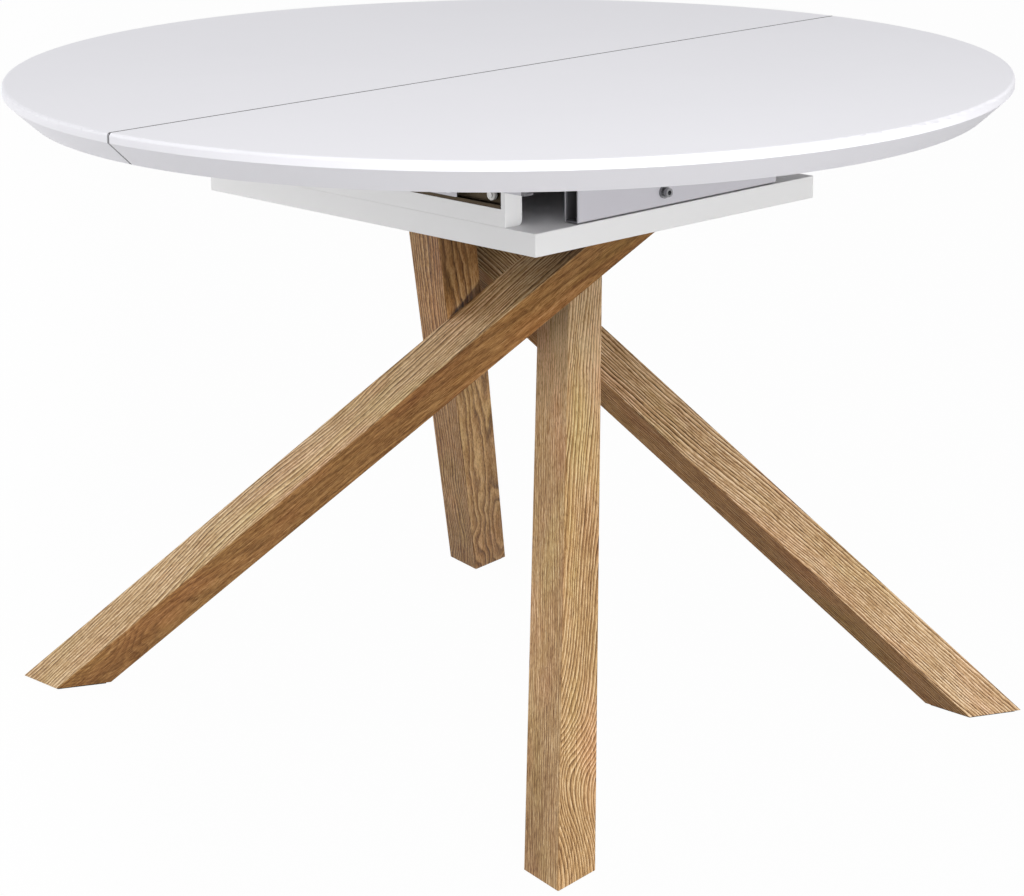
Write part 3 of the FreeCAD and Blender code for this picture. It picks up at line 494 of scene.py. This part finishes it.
def oakMaterial(name, figures):  # one figure on the bar's Y faces, the other on its Z faces
    foot, turn, length = legFrame(name)
    material, tree, coordinates = startMaterial(f"oak.{name}")
    effects = []
    for figure in figures:
        place = shifted(tree, coordinates, Vector(figure["pith"]) - turn @ foot, turn.to_euler("XYZ"))
        numbers = {label: number for label, number in figure.items() if label != "pith"}
        ends = {"Foot": figure["pith"][0], "Head": length}
        effects.append(placeGroup(tree, oakGrain, place, {**oak["effect"], **numbers, **ends}))
    square = vectorNode(tree, "DOT_PRODUCT", surfaceNormal(tree), tuple(turn[1]))
    onY = mathNode(tree, "GREATER_THAN", mathNode(tree, "ABSOLUTE", square), math.sqrt(0.5))
    surface = {label: mixColour(tree, "MIX", onY, effects[1].outputs[label], effects[0].outputs[label])
               for label in surfaceOutputs}
    joinShader(tree, surface, oak)
    return material


for legName, figures in oak["legs"].items():
    dress(oakMaterial(legName, figures), legName)
print("oak legs dressed")

lacquer = {
    "effect": {"Color": (0.87, 0.87, 0.865, 1), "Shade": (0.83, 0.83, 0.83, 1), "Cloud Scale": 4.0,
               "Grain Scale": 420.0, "Grain Tint": 0.12, "Roughness": 0.52, "Roughness Spread": 0.06},
    "bump": 0.05,
    "depth": 0.0004,
    "shader": {"Specular IOR Level": 0.25},
}
topLacquer = {
    **lacquer,
    "effect": {**lacquer["effect"], "Color": (0.805, 0.80, 0.84, 1), "Shade": (0.775, 0.77, 0.81, 1)},
    "band": {"Near": -1.0, "Far": 0.0016, "Depth": 0.85, "Wall Share": 0.12},  # painted shade in and along the seam
    "nodes": ("front_top", "back_top"),
}
leafLacquer = {**lacquer, "effect": topLacquer["effect"], "nodes": ("leaf_lower_panel", "leaf_upper_panel")}
sheetPaint = {
    "effect": {"Color": (0.60, 0.59, 0.63, 1), "Shade": (0.55, 0.54, 0.58, 1), "Cloud Scale": 12.0,
               "Grain Scale": 1500.0, "Grain Tint": 0.25, "Roughness": 0.42, "Roughness Spread": 0.08},
    "bump": 0.18,
    "depth": 0.0003,
    "shader": {"Specular IOR Level": 0.45},
    "band": {"Near": 0.2488, "Far": 0.2652, "Depth": 0.75},  # painted shade inside the folded channels
}
nylonSkin = {
    "effect": {"Color": (0.74, 0.73, 0.70, 1), "Shade": (0.64, 0.63, 0.6, 1), "Cloud Scale": 90.0,
               "Grain Scale": 1200.0, "Grain Tint": 0.2, "Roughness": 0.46, "Roughness Spread": 0.1},
    "bump": 0.12,
    "depth": 0.0002,
    "shader": {"Specular IOR Level": 0.4},
}
feltSkin = {
    "effect": {"Color": (0.035, 0.03, 0.027, 1), "Shade": (0.09, 0.08, 0.07, 1), "Cloud Scale": 160.0,
               "Grain Scale": 1400.0, "Grain Tint": 0.6, "Roughness": 0.93, "Roughness Spread": 0.05},
    "bump": 0.6,
    "depth": 0.0006,
    "shader": {"Specular IOR Level": 0.2},
}
metal = {"bump": 0.12, "depth": 0.0002, "shader": {"Metallic": 1.0}}
zincPlate = {
    **metal,
    "effect": {"Color": (0.62, 0.61, 0.59, 1), "Shade": (0.40, 0.40, 0.40, 1),
               "Line Scale": 900.0, "Roughness": 0.36},
}
bronzePlate = {
    **metal,
    "effect": {"Color": (0.10, 0.074, 0.046, 1), "Shade": (0.022, 0.016, 0.011, 1),
               "Line Scale": 700.0, "Roughness": 0.36},
}
boltSteel = {
    **metal,
    "effect": {"Color": (0.34, 0.34, 0.35, 1), "Shade": (0.15, 0.15, 0.16, 1),
               "Line Scale": 900.0, "Roughness": 0.26},
    "nodes": ("front_rack_bolt", "back_rack_bolt", "front_rack_washer", "back_rack_washer"),
}
beechPeg = {
    "effect": {"Ring Width": 0.0022, "Ring Lean": 0.01, "Warp": 0.004, "Dark": (0.42, 0.27, 0.15, 1),
               "Middle": (0.58, 0.42, 0.26, 1), "Light": (0.70, 0.54, 0.36, 1)},
    "bump": 0.2,
    "depth": 0.0003,
    "shader": {"Specular IOR Level": 0.3},
    "shift": (0.0, 0.013, 0.02),
}
finishes = {  # by the part's material slots
    "white_lacquer": newMaterial("lacquer.white", sprayedSkin, lacquer),
    "white_sheet": newMaterial("paint.sheet", sprayedSkin, sheetPaint),
    "nylon": newMaterial("nylon.natural", sprayedSkin, nylonSkin),
    "foot_felt": newMaterial("felt.dark", sprayedSkin, feltSkin),
    "zinc_steel": newMaterial("steel.zinc", platedSteel, zincPlate),
    "bronze_steel": newMaterial("steel.bronze", platedSteel, bronzePlate),
    "beech": newMaterial("beech.peg", oakGrain, beechPeg),
}
for nodeName, slotName in slotOf.items():
    if slotName in finishes:
        dress(finishes[slotName], nodeName)
dress(newMaterial("lacquer.top", sprayedSkin, topLacquer), *topLacquer["nodes"])
dress(newMaterial("lacquer.leaf", sprayedSkin, leafLacquer), *leafLacquer["nodes"])
dress(newMaterial("steel.bolt", platedSteel, boltSteel), *boltSteel["nodes"])
print("finishes on every node")


def directRays(tree):  # 1 for what is seen straight on, in a reflection or through glass
    path = addNode(tree, "ShaderNodeLightPath")
    seen = mathNode(tree, "MAXIMUM", path.outputs["Is Camera Ray"], path.outputs["Is Glossy Ray"])
    return mathNode(tree, "MAXIMUM", seen, path.outputs["Is Transmission Ray"])


def mixShaders(tree, factor, first, second):
    mix = addNode(tree, "ShaderNodeMixShader")
    for socket, source in zip(mix.inputs, (factor, first, second)):
        tree.links.new(source, socket)
    return mix.outputs["Shader"]


floorPlan = {
    "size": 60.0,
    "colour": (0.37, 0.37, 0.37),
    "sheet": (0.9, 0.9, 0.9),  # a paler sheet lies on one side
    "side": (-0.6, -0.8, 0.0),
    "start": 0.4,
    "end": 0.65,
    "shader": {"Roughness": 0.9, "Specular IOR Level": 0.0},
    "clear": 0.98,  # share of plain white; the rest keeps the shadow
}


def makeFloor():
    bpy.ops.mesh.primitive_plane_add(size=floorPlan["size"], location=(0, 0, 0))
    floor = bpy.context.object
    floor.name = "studioFloor"
    material, tree, place = startMaterial("studio.floor")
    shader = tree.nodes["Principled BSDF"]
    aside = vectorNode(tree, "DOT_PRODUCT", place, floorPlan["side"])
    onSheet = fromRange(tree, aside, floorPlan["start"], floorPlan["end"])
    colour = mixColour(tree, "MIX", onSheet, floorPlan["colour"], floorPlan["sheet"])
    tree.links.new(colour, shader.inputs["Base Color"])
    setInputs(shader, floorPlan["shader"])
    white = addNode(tree, "ShaderNodeEmission").outputs["Emission"]
    above = mixShaders(tree, times(tree, directRays(tree), floorPlan["clear"]), shader.outputs["BSDF"], white)
    glass = addNode(tree, "ShaderNodeBsdfTransparent")
    setInputs(glass, {"Color": (1, 1, 1, 1)})
    fromBelow = addNode(tree, "ShaderNodeNewGeometry").outputs["Backfacing"]
    surface = mixShaders(tree, fromBelow, above, glass.outputs["BSDF"])  # clear from below
    tree.links.new(surface, tree.nodes["Material Output"].inputs["Surface"])
    floor.data.materials.append(material)


makeFloor()

skyPlan = {"Color": (1.0, 1.0, 1.0, 1), "Strength": 0.52}


def makeSky():
    world = bpy.data.worlds.new("studioSky")
    bpy.context.scene.world = world
    world.use_nodes = True
    tree = world.node_tree
    soft = tree.nodes["Background"]
    setInputs(soft, skyPlan)
    plain = addNode(tree, "ShaderNodeBackground")
    surface = mixShaders(tree, directRays(tree), soft.outputs["Background"], plain.outputs["Background"])
    tree.links.new(surface, tree.nodes["World Output"].inputs["Surface"])


makeSky()

lamps = {  # place, size in metres and watts; all aim at the table's middle
    "keyLamp": {"place": (3.0, -1.6, 3.2), "size": 2.4, "power": 111.0},
    "fillLamp": {"place": (-3.2, -1.7, 1.3), "size": 2.6, "power": 54.0},
    "lowLamp": {"place": (4.2, -0.5, 0.62), "size": 1.2, "power": 66.0},
}
aimPoint = Vector((0.0, 0.0, 0.45))
for lampName, plan in lamps.items():
    light = bpy.data.lights.new(lampName, "AREA")
    light.shape = "DISK"
    light.size = plan["size"]
    light.energy = plan["power"]
    lamp = bpy.data.objects.new(lampName, light)
    lamp.location = plan["place"]
    lamp.rotation_euler = (aimPoint - lamp.location).to_track_quat("-Z", "Y").to_euler()
    bpy.context.scene.collection.objects.link(lamp)
print("floor, sky and lamps set")

view = {"azimuth": 45.825, "elevation": 15.580, "roll": -0.475, "distance": 3.8656,
        "aside": 0.0008, "height": 0.3060, "lens": 115.884, "sensor": 36.0}


def makeCamera():
    azimuth, elevation, roll = (math.radians(view[key]) for key in ("azimuth", "elevation", "roll"))
    back = Vector((math.sin(azimuth) * math.cos(elevation), -math.cos(azimuth) * math.cos(elevation),
                   math.sin(elevation)))
    right = Vector((math.cos(azimuth), math.sin(azimuth), 0))
    up = back.cross(right)
    level = math.cos(roll) * right + math.sin(roll) * up
    upright = back.cross(level)
    lens = bpy.data.cameras.new("photoCamera")
    lens.lens = view["lens"]
    lens.sensor_width = view["sensor"]
    lens.sensor_fit = "HORIZONTAL"
    camera = bpy.data.objects.new("photoCamera", lens)
    camera.location = right * view["aside"] + Vector((0, 0, view["height"])) + back * view["distance"]
    camera.rotation_euler = Matrix((level, upright, back)).transposed().to_euler()
    bpy.context.scene.collection.objects.link(camera)
    bpy.context.scene.camera = camera


makeCamera()
bpy.context.scene.view_settings.view_transform = "Standard"
print("camera set")
